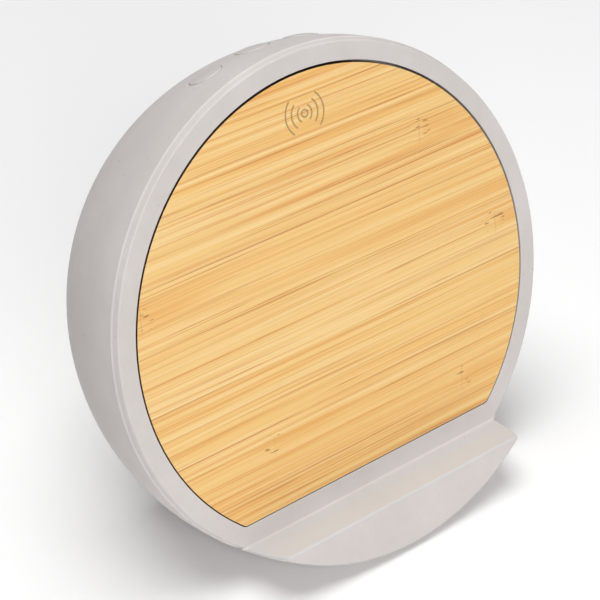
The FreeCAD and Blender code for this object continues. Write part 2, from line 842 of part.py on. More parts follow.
def make_rear_cover():
    body = new_body("rear_cover")
    disc = new_sketch(body, level="-rear_level")
    draw_circle(disc, "rebate_radius - cover_gap")
    plate = pad(body, disc, "cover_thick")
    rear = -value("rear_level")
    round_edges(body, plate, "cover_edge", lambda edge: near(middle(edge).z, rear))

    boss = new_sketch(body, level=f"-({COVER_INNER})")
    draw_circle(boss, "speaker_ring + boss_overhang", "0", "speaker_height")
    draw_circle(boss, "speaker_window", "0", "speaker_height")
    pad(body, boss, "speaker_boss")
    shelf = new_sketch(body, level=f"-({COVER_INNER})")
    shelf_base = f"{USB_BOARD_BASE} - usb_shelf_thick"
    draw_box(shelf, "-usb_board_half", "usb_board_half", shelf_base, USB_BOARD_BASE)
    pad(body, shelf, "usb_shelf_deep")

    for number in range(GRILLE_RINGS + 1):
        holes = new_sketch(body, level="-rear_level")
        if number == 0:
            draw_circle(holes, "grille_hole", "0", "speaker_height")
            pocket(body, holes, "cover_thick", forward=True)
            continue
        pitch = f"{number} * grille_pitch"
        draw_ring_of_circles(holes, 6 * number, pitch, "grille_hole", first="0", shift="speaker_height")
        pocket(body, holes, "cover_thick", forward=True)

    screws = new_sketch(body, level="-rear_level")
    draw_ring_of_circles(screws, 4, "cover_screw_pitch", "screw_radius + screw_clearance")
    pocket(body, screws, "cover_thick", forward=True)
    heads = new_sketch(body, level="-rear_level")
    draw_ring_of_circles(heads, 4, "cover_screw_pitch", "head_radius")
    pocket(body, heads, "head_height + head_sink", forward=True)
    taps = new_sketch(body, level=f"-{SPEAKER_SEAT}")
    draw_ring_of_circles(taps, 4, SPEAKER_SCREW_PITCH, "small_screw_radius", shift="speaker_height")
    pocket(body, taps, "speaker_boss + tap_depth")

    inlet = new_sketch(body, level="-rear_level")
    draw_stadium(inlet, "(usb_width / 2 + usb_play)", "(usb_thick / 2 + usb_play)", "usb_height")
    pocket(body, inlet, "cover_thick", forward=True)
    lamp = new_sketch(body, level="-rear_level")
    draw_circle(lamp, "pipe_radius + pipe_play", "lamp_across", "usb_height")
    pocket(body, lamp, "cover_thick", forward=True)
    ear = new_sketch(body, level="-rear_level")
    draw_circle(ear, "ear_hole", "ear_across", "ear_height")
    pocket(body, ear, "cover_thick", forward=True)


def make_cover_fittings():
    sides = ("rear_opening + seal_inset", "rebate_radius - seal_inset")
    seal = turned_piece("cover_seal", ring(*sides, f"-({COVER_INNER})", f"-({REBATE_FLOOR})"))
    holes = new_sketch(seal, level=f"-({COVER_INNER})")
    draw_ring_of_circles(holes, 4, "cover_screw_pitch", "insert_radius + screw_clearance")
    pocket(seal, holes, "seal_thick", forward=True)

    board = new_body("usb_board")
    outline = new_sketch(board, level=f"-({COVER_INNER}) + usb_board_gap")
    draw_box(outline, "-usb_board_half", "usb_board_half", USB_BOARD_BASE, USB_BOARD_TOP)
    pad(board, outline, "usb_board_deep")
    lamp = new_body("status_led")
    outline = new_sketch(lamp, level=f"-({COVER_INNER}) + lamp_gap")
    sides = ("lamp_across - lamp_half", "lamp_across + lamp_half")
    draw_box(outline, *sides, USB_BOARD_TOP, f"{USB_BOARD_TOP} + lamp_tall")
    pad(lamp, outline, "lamp_deep")
    pipe = new_body("light_pipe")
    outline = new_sketch(pipe, level="-rear_level + pipe_sink")
    draw_circle(outline, "pipe_radius", "lamp_across", "usb_height")
    pad(pipe, outline, "cover_thick + pipe_sink")
    ear = new_body("microphone")
    outline = new_sketch(ear, level=f"-({COVER_INNER})")
    draw_circle(outline, "ear_radius", "ear_across", "ear_height")
    pad(ear, outline, "ear_deep")


def make_usb_socket():
    """A metal shell with rounded ends, open at the rear, with a contact tongue inside."""
    body = new_body("usb_socket")
    mouth = "-rear_level + usb_mouth"
    for inset, length, cut in (("0", "usb_depth", False), ("usb_wall", "usb_depth - usb_back", True)):
        sketch = new_sketch(body, level=mouth)
        draw_stadium(sketch, f"(usb_width / 2 - {inset})", f"(usb_thick / 2 - {inset})", "usb_height")
        if cut:
            pocket(body, sketch, length, forward=True)
        else:
            pad(body, sketch, length)
    tongue = new_sketch(body, level=f"{mouth} + usb_tongue_sink")
    levels = ("usb_height - usb_tongue_thick", "usb_height + usb_tongue_thick")
    draw_box(tongue, "-usb_tongue", "usb_tongue", *levels)
    pad(body, tongue, "usb_depth - usb_tongue_sink - usb_back / 2")


make_rear_cover()
make_cover_fittings()
make_usb_socket()


# ------------------------------------------------------------------ loudspeaker
FLANGE = f"(-{SPEAKER_SEAT} + seal_thick)"
BASKET_END = f"({FLANGE} + basket_depth)"
MOTOR_END = f"({BASKET_END} + motor_depth)"
FORMER = "(former_radius + former_wall)"
CUP_INNER = f"({FORMER} + motor_gap)"
CONE_RIM = f"({FLANGE} + cone_rim)"
DOME_EDGE = f"({BASKET_END} - coil_reach)"


def make_speaker_frame():
    """The basket and its gasket, with the magnet and its iron parts behind them."""
    seal = ring("speaker_window + boss_overhang", "speaker_ring", f"-{SPEAKER_SEAT}", FLANGE)
    gasket = turned_piece("speaker_seal", seal, placement=SPEAKER)
    flange_top = f"{FLANGE} + basket_wall"
    foot = "motor_radius + basket_foot"
    basket = turned_piece(
        "speaker_basket",
        [
            ("speaker_window", FLANGE),
            ("speaker_ring", FLANGE),
            ("speaker_ring", flange_top),
            ("speaker_window + basket_wall", flange_top),
            (foot, BASKET_END),
            (CUP_INNER, BASKET_END),
            (CUP_INNER, f"{BASKET_END} - basket_wall"),
            (f"{foot} - basket_slant", f"{BASKET_END} - basket_wall"),
            ("speaker_window", flange_top),
        ],
        placement=SPEAKER,
    )
    for piece in (gasket, basket):
        holes = new_sketch(piece, level=f"-{SPEAKER_SEAT}")
        draw_ring_of_circles(holes, 4, SPEAKER_SCREW_PITCH, "small_screw_radius + small_screw_play")
        pocket(piece, holes, "2 * (seal_thick + basket_wall)", forward=True)

    cup_floor = f"({MOTOR_END} - motor_floor)"
    turned_piece(
        "motor_cup",
        [
            ("0", MOTOR_END),
            ("motor_radius", MOTOR_END),
            ("motor_radius", BASKET_END),
            (CUP_INNER, BASKET_END),
            (CUP_INNER, cup_floor),
            ("0", cup_floor),
        ],
        placement=SPEAKER,
    )
    magnet_end = f"({cup_floor} - magnet_thick)"
    turned_piece("magnet", ring("0", "magnet_radius", magnet_end, cup_floor), placement=SPEAKER)
    pole = ring("0", "magnet_radius + pole_overhang", f"{magnet_end} - pole_thick", magnet_end)
    turned_piece("pole_plate", pole, placement=SPEAKER)

    screw = screw_outline(
        flange_top,
        f"{flange_top} + small_head_height",
        f"-{SPEAKER_SEAT} - small_screw_grip",
        "small_head_radius",
        "small_screw_radius",
    )
    group_about_axis("speaker_screws", screw, SPEAKER_SCREW_PITCH, placement=SPEAKER)


def make_diaphragm():
    """The cone with its dust cap and coil, and the soft surround that it hangs in."""
    neck = f"{BASKET_END} - cone_neck"
    turned_piece(
        "speaker_cone",
        [
            ("cone_radius", CONE_RIM),
            ("cone_radius + cone_thick", CONE_RIM),
            (f"{FORMER} + cone_thick", neck),
            (FORMER, neck),
        ],
        placement=SPEAKER,
    )
    coil = ring("former_radius", FORMER, DOME_EDGE, f"{BASKET_END} + coil_reach")
    turned_piece("voice_coil", coil, placement=SPEAKER)
    centre = f"({DOME_EDGE} + dome_bend)"
    inner = f"({FORMER} - dome_wall)"
    turned_piece(
        "dust_cap",
        [
            ("0", f"{centre} - sqrt({FORMER}^2 + dome_bend^2)"),
            (FORMER, DOME_EDGE),
            (inner, DOME_EDGE),
            ("0", f"{centre} - sqrt({inner}^2 + dome_bend^2)"),
        ],
        {0: centre, 2: centre},
        placement=SPEAKER,
    )
    start = "cone_radius + surround_start"
    shoulder = "cone_radius + surround_shoulder"
    valley = "cone_radius + surround_valley"
    low = f"{FLANGE} + surround_rise"
    turned_piece(
        "speaker_surround",
        [
            (start, f"{CONE_RIM} - surround_thick"),
            (shoulder, f"{CONE_RIM} - surround_thick"),
            (valley, f"{low} + surround_thick"),
            ("speaker_window", low),
            ("speaker_window", f"{low} + surround_thick"),
            (f"{valley} + surround_slant", f"{low} + 2 * surround_thick"),
            (f"{shoulder} + surround_slant", CONE_RIM),
            (start, CONE_RIM),
        ],
        placement=SPEAKER,
    )


make_speaker_frame()
make_diaphragm()


# ------------------------------------------------------------------ push buttons
STEM_END = 51.1
SWITCH_TOP = 50.6
SWITCH_BASE = 49.3
FLEX_BASE = 49.1
BRACKET_BASE = 46.6
BRACKET_SEAT = 47.0
POST_TOP = 51.9
ROW_STAND = STAND * BUTTON_ROW


def make_button(label, step):
    """One domed cap with its retaining flange and stem, and the switch plunger that it presses."""
    place = ROW_STAND * on_axis(step, 0)
    crown = "(sphere_radius + button_proud)"
    sagitta = "(button_proud - button_rim + button_radius^2 / (2 * sphere_radius))"
    dome_radius = f"(button_radius^2 / (2 * {sagitta}) + {sagitta} / 2)"
    shoulder = f"({BUTTON_SHOULDER} - flange_play)"
    cap = turned_piece(
        label,
        [
            ("0", str(STEM_END)),
            ("stem_radius", str(STEM_END)),
            ("stem_radius", f"{shoulder} - flange_thick"),
            ("flange_radius", f"{shoulder} - flange_thick"),
            ("flange_radius", shoulder),
            ("button_radius", shoulder),
            ("button_radius", f"{crown} - {sagitta}"),
            ("0", crown),
        ],
        {6: f"{crown} - {dome_radius}"},
        placement=place,
    )
    rim = value(f"{crown} - {sagitta}")
    round_edges(cap, cap.Tip, "button_edge", lambda edge: near(middle(edge).z, rim))
    plunger = ring("0", "plunger_radius", f"{SWITCH_TOP} - plunger_play", str(STEM_END))
    turned_piece(label.replace("button", "plunger"), plunger, placement=place)


def make_switches():
    body = new_body("tact_switches", ROW_STAND, many=True)
    for step in BUTTONS.values():
        block = new_sketch(body, placement=on_axis(step, SWITCH_BASE))
        draw_box(block, "-switch_half", "switch_half", "-switch_half", "switch_half")
        pad(body, block, f"{SWITCH_TOP} - {SWITCH_BASE}")
        hole = new_sketch(body, placement=on_axis(step, SWITCH_TOP))
        draw_circle(hole, "plunger_radius + switch_play")
        pocket(body, hole, "switch_well")


def curved_strip(body, inner, outer, half_width, angle):
    """A strip that follows the row of buttons, between two radii, turned about the face's axis."""
    sketch = new_sketch(body, "YZ_Plane")
    tilt = math.radians(value("button_back"))
    along = Vector(math.cos(tilt), -math.sin(tilt), 0)
    aside = Vector(math.sin(tilt), math.cos(tilt), 0)
    corners = []
    for radius, side in ((inner, -1), (outer, -1), (outer, 1), (inner, 1)):
        point = along * radius + aside * (side * half_width)
        corners.append((str(point.x), str(point.y)))
    draw_outline(sketch, corners)
    return revolve(body, sketch, angle=angle, centred=True)


def make_button_bracket():
    flex = new_body("button_flex", ROW_STAND)
    step = value("bracket_step")
    flex_angle = 2 * (STEP + value("flex_overhang"))
    curved_strip(flex, FLEX_BASE, SWITCH_BASE, value("flex_half"), flex_angle)
    body = new_body("button_bracket", ROW_STAND)
    bracket_angle = 2 * (step + value("bracket_overhang"))
    curved_strip(body, BRACKET_BASE, FLEX_BASE, value("bracket_half"), bracket_angle)
    for side in (step, -step):
        post = new_sketch(body, placement=on_axis(side, BRACKET_BASE))
        draw_circle(post, "bracket_post")
        pad(body, post, f"{POST_TOP} - {BRACKET_BASE}")
    for side in (step, -step):
        start = on_axis(side, BRACKET_BASE - OVERCUT)
        drill(body, "bracket_hole", "bracket_hole", f"{POST_TOP} - {BRACKET_BASE} + 2 * {OVERCUT}", start)
        drill(body, "bracket_seat", "bracket_seat", f"{BRACKET_SEAT} - {BRACKET_BASE} + {OVERCUT}", start)

    inserts = new_body("bracket_inserts", ROW_STAND, many=True)
    screws = new_body("bracket_screws", ROW_STAND, many=True)
    for side in (step, -step):
        upright = on_axis(side, 0) * Placement(Vector(0, 0, 0), UPRIGHT)
        sketch = new_sketch(inserts, placement=upright)
        top = f"{BRACKET_INSERT} + bracket_insert_length"
        draw_outline(sketch, ring("bracket_insert_bore", "bracket_insert", str(BRACKET_INSERT), top))
        revolve(inserts, sketch)
        sketch = new_sketch(screws, placement=upright)
        outline = screw_outline(
            str(BRACKET_SEAT),
            f"{BRACKET_SEAT} - bracket_head_height",
            f"{BRACKET_INSERT} + bracket_insert_length - bracket_screw_short",
            "bracket_head",
            "bracket_screw",
        )
        draw_outline(sketch, outline)
        revolve(screws, sketch)


for button, step in BUTTONS.items():
    make_button(button, step)
make_switches()
make_button_bracket()


# ------------------------------------------------------------------ foot
def make_foot():
    turned_piece("foot_pad", ring("0", "foot_radius", "0", "foot_thick"), placement=Placement())


make_foot()


# ------------------------------------------------------------------ check and write
doc.recompute()
for item in doc.Objects:
    if "Invalid" in item.State or "Error" in item.State:
        raise RuntimeError(f"{item.Label} failed: {item.State}")
os.makedirs("parts", exist_ok=True)
for node in NODES:
    if node.Shape.isNull() or not node.Shape.isValid() or not node.Shape.Solids:
        raise RuntimeError(f"{node.Label} has no valid solid")
for node in NODES:
    node.Shape.exportStep(f"parts/{node.Label}.step")
    print(f"{node.Label:20s} {len(node.Shape.Solids):3d} solids {node.Shape.Volume:10.1f} mm3")
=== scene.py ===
import json
import math

import bpy
from mathutils import Matrix, Vector


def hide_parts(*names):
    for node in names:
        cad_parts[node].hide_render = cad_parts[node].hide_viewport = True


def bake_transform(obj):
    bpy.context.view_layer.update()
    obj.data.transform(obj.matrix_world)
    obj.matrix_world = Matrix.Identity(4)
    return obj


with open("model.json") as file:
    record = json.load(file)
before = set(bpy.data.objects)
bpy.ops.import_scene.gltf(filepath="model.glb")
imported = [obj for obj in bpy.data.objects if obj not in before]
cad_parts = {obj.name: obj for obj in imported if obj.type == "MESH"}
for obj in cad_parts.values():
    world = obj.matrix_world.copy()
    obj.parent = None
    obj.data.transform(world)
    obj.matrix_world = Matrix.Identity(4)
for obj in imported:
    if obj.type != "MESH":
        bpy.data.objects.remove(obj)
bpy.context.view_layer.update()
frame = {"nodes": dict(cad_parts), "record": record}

# A wireless charging stand: a cast cement sphere, cut flat in front, with a bamboo charging face, a ledge
# for the phone, three push buttons on top and a loudspeaker behind. Everything is in metres.

MM = 0.001
nodes = frame["nodes"]
mounts = {mount["name"]: mount for mount in frame["record"]["mounts"]}

# The leaning frame of the face: x to the right, UP the face and OUT of it, from the middle of the face.
FACE = Vector(mounts["phone_face"]["pos_m"])
OUT = Vector(mounts["phone_face"]["axis"])
RIGHT = Vector((1, 0, 0))
UP = OUT.cross(RIGHT)
FACE_TURN = Matrix((RIGHT, UP, OUT)).transposed()


# ---------------------------------------------------------------------------------- camera and stage
CAMERA_PLACE = (-0.24787, -0.29714, 0.32086)
CAMERA_TARGET = (-0.0070, 0.0029, 0.0544)
FOCAL_LENGTH = 124.0  # in millimetres, as Blender takes it
SENSOR_WIDTH = 36.0
FLOOR_REACH = 3.0
FLOOR_COLOUR = (0.97, 0.97, 0.97, 1)
ROOM_COLOUR = (1.0, 0.995, 0.99, 1)
ROOM_STRENGTH = 0.1
SOFT_LIGHTS = (  # round lights: name, place, diameter, power in watts
    ("top_box", (-0.1, 0.1, 1.2), 1.0, 11.6),
    ("overhead_box", (0.55, -0.25, 1.0), 0.5, 1.0),
    ("front_left_box", (-0.5, -1.1, 0.6), 0.8, 8.4),
    ("front_right_box", (0.45, -1.1, 0.45), 0.9, 0.4),
)
LIGHT_AIM = Vector((0.0, 0.0, 0.05))


def make_camera():
    """The photo's own view, found by fitting the object's outlines."""
    data = bpy.data.cameras.new("camera")
    data.lens = FOCAL_LENGTH
    data.sensor_width = SENSOR_WIDTH
    camera = bpy.data.objects.new("camera", data)
    camera.location = CAMERA_PLACE
    camera.rotation_euler = (Vector(CAMERA_TARGET) - camera.location).to_track_quat("-Z", "Y").to_euler()
    bpy.context.scene.collection.objects.link(camera)
    bpy.context.scene.camera = camera


def area_light(name, place, size, power):
    data = bpy.data.lights.new(name, "AREA")
    data.shape = "DISK"
    data.size = size
    data.energy = power
    light = bpy.data.objects.new(name, data)
    light.location = place
    light.rotation_euler = (LIGHT_AIM - light.location).to_track_quat("-Z", "Y").to_euler()
    bpy.context.scene.collection.objects.link(light)


def make_stage():
    """A wide pale floor in an even white room, with soft lights above and in front."""
    reach = FLOOR_REACH
    mesh = bpy.data.meshes.new("floor")
    corners = [(-reach, -reach, 0), (reach, -reach, 0), (reach, reach, 0), (-reach, reach, 0)]
    mesh.from_pydata(corners, [], [(0, 1, 2, 3)])
    floor = bpy.data.objects.new("floor", mesh)
    bpy.context.scene.collection.objects.link(floor)
    shader = Shader("floor_paper", roughness=0.9)
    shader.surface.inputs["Base Color"].default_value = FLOOR_COLOUR
    mesh.materials.append(shader.material)

    world = bpy.data.worlds.new("studio")
    world.use_nodes = True
    background = world.node_tree.nodes["Background"]
    background.inputs["Color"].default_value = ROOM_COLOUR
    background.inputs["Strength"].default_value = ROOM_STRENGTH
    bpy.context.scene.world = world
    bpy.context.scene.view_settings.view_transform = "Standard"

    for light in SOFT_LIGHTS:
        area_light(*light)


# ---------------------------------------------------------------------------------- shader building
def linear(red, green, blue):
    """A colour given by its display values from 0 to 255, as the linear colour that a shader takes."""
    shares = [channel / 255 for channel in (red, green, blue)]
    return tuple(c / 12.92 if c <= 0.04045 else ((c + 0.055) / 1.055) ** 2.4 for c in shares) + (1.0,)


class Shader:
    """One node material around a Principled surface, with short calls that add nodes and wire them."""

    def __init__(self, name, roughness=0.5, metallic=0.0, specular=0.5):
        self.material = bpy.data.materials.new(name)
        self.material.use_nodes = True
        self.tree = self.material.node_tree
        self.surface = self.tree.nodes["Principled BSDF"]
        self.surface.inputs["Roughness"].default_value = roughness
        self.surface.inputs["Metallic"].default_value = metallic
        self.surface.inputs["Specular IOR Level"].default_value = specular
        self.place = self.add("ShaderNodeTexCoord").outputs["Object"]

    def add(self, kind, **settings):
        node = self.tree.nodes.new(kind)
        for name, setting in settings.items():
            setattr(node, name, setting)
        return node

    def wire(self, source, socket):
        """Links an output to a socket, or sets the socket if the source is a plain value."""
        if isinstance(source, bpy.types.NodeSocket):
            self.tree.links.new(source, socket)
        else:
            socket.default_value = source

    def calc(self, operation, first, second=0.0, third=0.0):
        node = self.add("ShaderNodeMath", operation=operation)
        for socket, source in zip(node.inputs, (first, second, third)):
            self.wire(source, socket)
        return node.outputs[0]

    def face_place(self):
        """The place in the leaning frame of the face."""
        node = self.add("ShaderNodeMapping", vector_type="TEXTURE")
        node.inputs["Location"].default_value = FACE
        node.inputs["Rotation"].default_value = FACE_TURN.to_euler()
        self.wire(self.place, node.inputs["Vector"])
        return node.outputs[0]

    def split(self, vector):
        node = self.add("ShaderNodeSeparateXYZ")
        self.wire(vector, node.inputs[0])
        return node.outputs

    def join(self, x, y, z=0.0):
        node = self.add("ShaderNodeCombineXYZ")
        for source, socket in zip((x, y, z), node.inputs):
            self.wire(source, socket)
        return node.outputs[0]

    def noise(self, size, detail=2.0, rough=0.5, vector=None):
        """Smooth noise from 0 to 1 whose blobs are about as large as size, which may differ by axis."""
        sizes = size if isinstance(size, tuple) else (size,) * 3
        scaled = self.add("ShaderNodeMapping")
        scaled.inputs["Scale"].default_value = [1 / one for one in sizes]
        self.wire(vector or self.place, scaled.inputs["Vector"])
        node = self.add("ShaderNodeTexNoise")
        node.inputs["Scale"].default_value = 1.0
        node.inputs["Detail"].default_value = detail
        node.inputs["Roughness"].default_value = rough
        self.wire(scaled.outputs[0], node.inputs["Vector"])
        return node.outputs[0]

    def cells(self, size, feature="F1"):
        """Voronoi cells of a size: the distance to the nearest centre, in cells, and a shade per cell."""
        node = self.add("ShaderNodeTexVoronoi", feature=feature)
        node.inputs["Scale"].default_value = 1 / size
        self.wire(self.place, node.inputs["Vector"])
        shade = self.split(node.outputs["Color"])[0] if feature == "F1" else None
        return node.outputs["Distance"], shade

    def step(self, value, low, high):
        """0 below low, 1 above high and smooth between them. With low above high it falls instead."""
        node = self.add("ShaderNodeMapRange", interpolation_type="SMOOTHSTEP")
        self.wire(value, node.inputs["Value"])
        node.inputs["From Min"].default_value = min(low, high)
        node.inputs["From Max"].default_value = max(low, high)
        node.inputs["To Min"].default_value = 0.0 if low < high else 1.0
        node.inputs["To Max"].default_value = 1.0 if low < high else 0.0
        return node.outputs[0]

    def mix(self, share, first, second):
        """A colour between two, by a share from 0 to 1."""
        node = self.add("ShaderNodeMix", data_type="RGBA")
        self.wire(share, node.inputs["Factor"])
        self.wire(first, node.inputs["A"])
        self.wire(second, node.inputs["B"])
        return node.outputs["Result"]

    def layer(self, tone, value, low, high, strength, colour):
        """The tone with a colour laid over it, up to strength, as the value passes from low to high."""
        return self.mix(self.calc("MULTIPLY", self.step(value, low, high), strength), tone, colour)

    def product(self, *shares):
        """The shares multiplied together, so 1 only where each of them is 1."""
        result = shares[0]
        for share in shares[1:]:
            result = self.calc("MULTIPLY", result, share)
        return result

    def shade(self, colour, amount, value):
        """The colour made darker and lighter by noise around its middle, by up to amount each way."""
        node = self.add("ShaderNodeHueSaturation")
        self.wire(colour, node.inputs["Color"])
        self.wire(self.calc("MULTIPLY_ADD", value, 2 * amount, 1 - amount), node.inputs["Value"])
        return node.outputs[0]

    def colour(self, source):
        self.wire(source, self.surface.inputs["Base Color"])

    def rough(self, value, low, high):
        """Roughness from low to high as the value goes from 0 to 1."""
        self.wire(self.calc("MULTIPLY_ADD", value, high - low, low), self.surface.inputs["Roughness"])

    def bump(self, height, depth, strength):
        node = self.add("ShaderNodeBump")
        node.inputs["Strength"].default_value = strength
        node.inputs["Distance"].default_value = depth
        self.wire(height, node.inputs["Height"])
        self.wire(node.outputs[0], self.surface.inputs["Normal"])


# ---------------------------------------------------------------------------------- cement
LEDGE_SHELF = -45.7 * MM  # where the shelf of the ledge lies, up the face from its middle


def cement():
    """Fine cast cement: pale warm grey, softly clouded, with a few pinholes darkened by painted shade, a
    painted cooler tint on the ledge's shelf and a smooth satin skin.
    """
    shader = Shader("fine_cement", specular=0.16)
    clouds = shader.noise(22 * MM, detail=4, rough=0.55)
    mottle = shader.noise(3.2 * MM, detail=3, rough=0.6)
    grain = shader.noise(0.35 * MM, detail=2)
    tone = shader.mix(shader.step(clouds, 0.3, 0.7), linear(205, 199, 196), linear(212, 206, 204))
    tone = shader.shade(tone, 0.03, mottle)
    tone = shader.shade(tone, 0.025, grain)
    distance, shade = shader.cells(3.4 * MM)
    pinhole_and_shade = shader.product(shader.step(distance, 0.09, 0.04), shader.step(shade, 0.86, 0.9))
    speck_distance, speck_shade = shader.cells(1.5 * MM)
    speck = shader.product(shader.step(speck_distance, 0.2, 0.1), shader.step(speck_shade, 0.8, 0.9))
    tone = shader.mix(shader.calc("MULTIPLY", speck, 0.16), tone, linear(160, 152, 146))
    # painted shade: the pinholes are darkened for the shade that falls inside them; the same mask also
    # sinks them by bump
    tone = shader.mix(shader.calc("MULTIPLY", pinhole_and_shade, 0.5), tone, linear(128, 121, 116))

    # painted cooling: the shelf of the ledge is painted a little cooler, to cancel the warm light that the
    # bamboo throws on it
    upward, outward = shader.split(shader.face_place())[1:]
    not_below = shader.step(upward, LEDGE_SHELF - 0.7 * MM, LEDGE_SHELF - 0.2 * MM)
    painted_shelf_cooling = shader.product(shader.step(outward, 0.3 * MM, 2 * MM), not_below)
    tone = shader.mix(shader.calc("MULTIPLY", painted_shelf_cooling, 0.5), tone, linear(194, 200, 205))
    shader.colour(tone)
    shader.rough(mottle, 0.6, 0.74)
    height = shader.calc("MULTIPLY_ADD", pinhole_and_shade, -1.2, shader.calc("MULTIPLY_ADD", mottle, 0.5, grain))
    shader.bump(height, 0.05 * MM, 0.5)
    return shader.material


# ---------------------------------------------------------------------------------- bamboo
STRIP = 14.0 * MM  # width of one laminated strip
STRIP_JOINT = 7.5 * MM  # height of one of the joints
CULMS = (  # where the stalk's nodes cross a strip: across, upward, strength
    (30.0 * MM, 31.5 * MM, 1.0),
    (48.0 * MM, 2.5 * MM, 0.9),
    (30.5 * MM, -31.5 * MM, 0.9),
    (-25.0 * MM, -25.0 * MM, 0.55),
    (-51.5 * MM, 15.5 * MM, 0.9),
)
MARK_CENTRE = (-0.4 * MM, 45.4 * MM)
MARK_LINE = 0.42 * MM
MARK_ARCS = (  # radius, half angle in degrees
    (0.82 * MM, 180.0),
    (1.95 * MM, 57.0),
    (3.6 * MM, 47.0),
    (5.25 * MM, 47.0),
)
MARK_ARC_END = 0.04  # how softly an arc ends, in radians
CULM_REACH = 3.4 * MM
CULM_WAVES = 900.0  # waves of the parted fibres across a culm node, in radians to the metre
BURNT_EDGE = linear(52, 34, 27)


def charging_mark(shader, across, upward):
    """The burnt-in pictogram: a small ring with three waves on either side."""
    x = shader.calc("SUBTRACT", across, MARK_CENTRE[0])
    y = shader.calc("SUBTRACT", upward, MARK_CENTRE[1])
    radius = shader.calc("SQRT", shader.calc("ADD", shader.calc("POWER", x, 2), shader.calc("POWER", y, 2)))
    slope = shader.calc("ARCTAN2", shader.calc("ABSOLUTE", y), shader.calc("ABSOLUTE", x))
    mark = 0.0
    for middle_radius, half_angle in MARK_ARCS:
        off_line = shader.calc("ABSOLUTE", shader.calc("SUBTRACT", radius, middle_radius))
        line = shader.step(off_line, 0.62 * MARK_LINE, 0.38 * MARK_LINE)
        limit = math.radians(half_angle)
        within = shader.step(slope, limit + MARK_ARC_END, limit - MARK_ARC_END)
        mark = shader.calc("MAXIMUM", mark, shader.product(line, within))
    return mark


